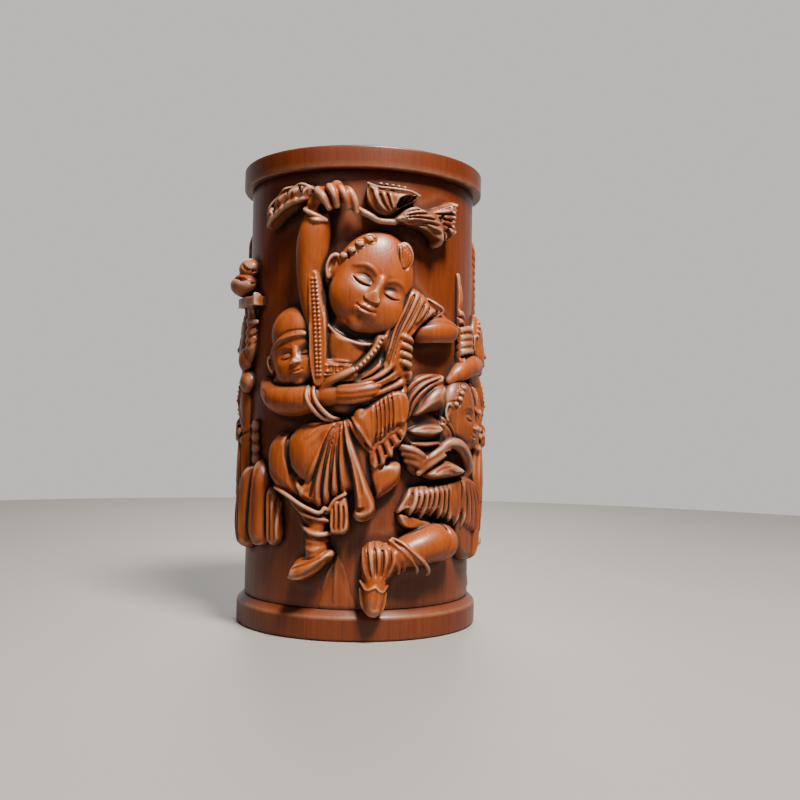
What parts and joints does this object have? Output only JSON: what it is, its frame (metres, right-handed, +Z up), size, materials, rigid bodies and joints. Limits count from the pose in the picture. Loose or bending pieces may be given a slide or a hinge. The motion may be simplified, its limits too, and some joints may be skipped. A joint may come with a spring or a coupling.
{
  "type": "brush pot",
  "caption": "Tall cylindrical wooden brush pot with a plain lip and foot, its wall deeply carved all round with boys at play, a lotus spray and low rocks.",
  "frame": {"origin": "middle of the underside, on the pot's axis, at the height of the foot's standing face", "axes": "+Z up along the pot's axis; -Y is the front, where the large boy is carved; +X is the viewer's right when looking at the front"},
  "size_m": [0.0915, 0.0953, 0.16],
  "materials": {
    "red_brown_wood": "satin polished, darker in the carved hollows",
    "dark_wood": "plain, oiled"
  },
  "bodies": {
    "root": {"base_board": "dark_wood", "bud_boy": "red_brown_wood", "drum_boy": "red_brown_wood", "fan_boy": "red_brown_wood", "foot_ring": "red_brown_wood", "front_rock": "red_brown_wood", "fruit": "red_brown_wood", "hugging_boy": "red_brown_wood", "kneeling_boy": "red_brown_wood", "lotus_boy": "red_brown_wood", "lotus_flower": "red_brown_wood", "lotus_leaf": "red_brown_wood", "plantain_left": "red_brown_wood", "plantain_right": "red_brown_wood", "pot_wall": "red_brown_wood", "rear_boy": "red_brown_wood", "rear_rock_left": "red_brown_wood", "rear_rock_right": "red_brown_wood", "rim_ring": "red_brown_wood", "tablet_boy": "red_brown_wood"}
  },
  "joints": []
}
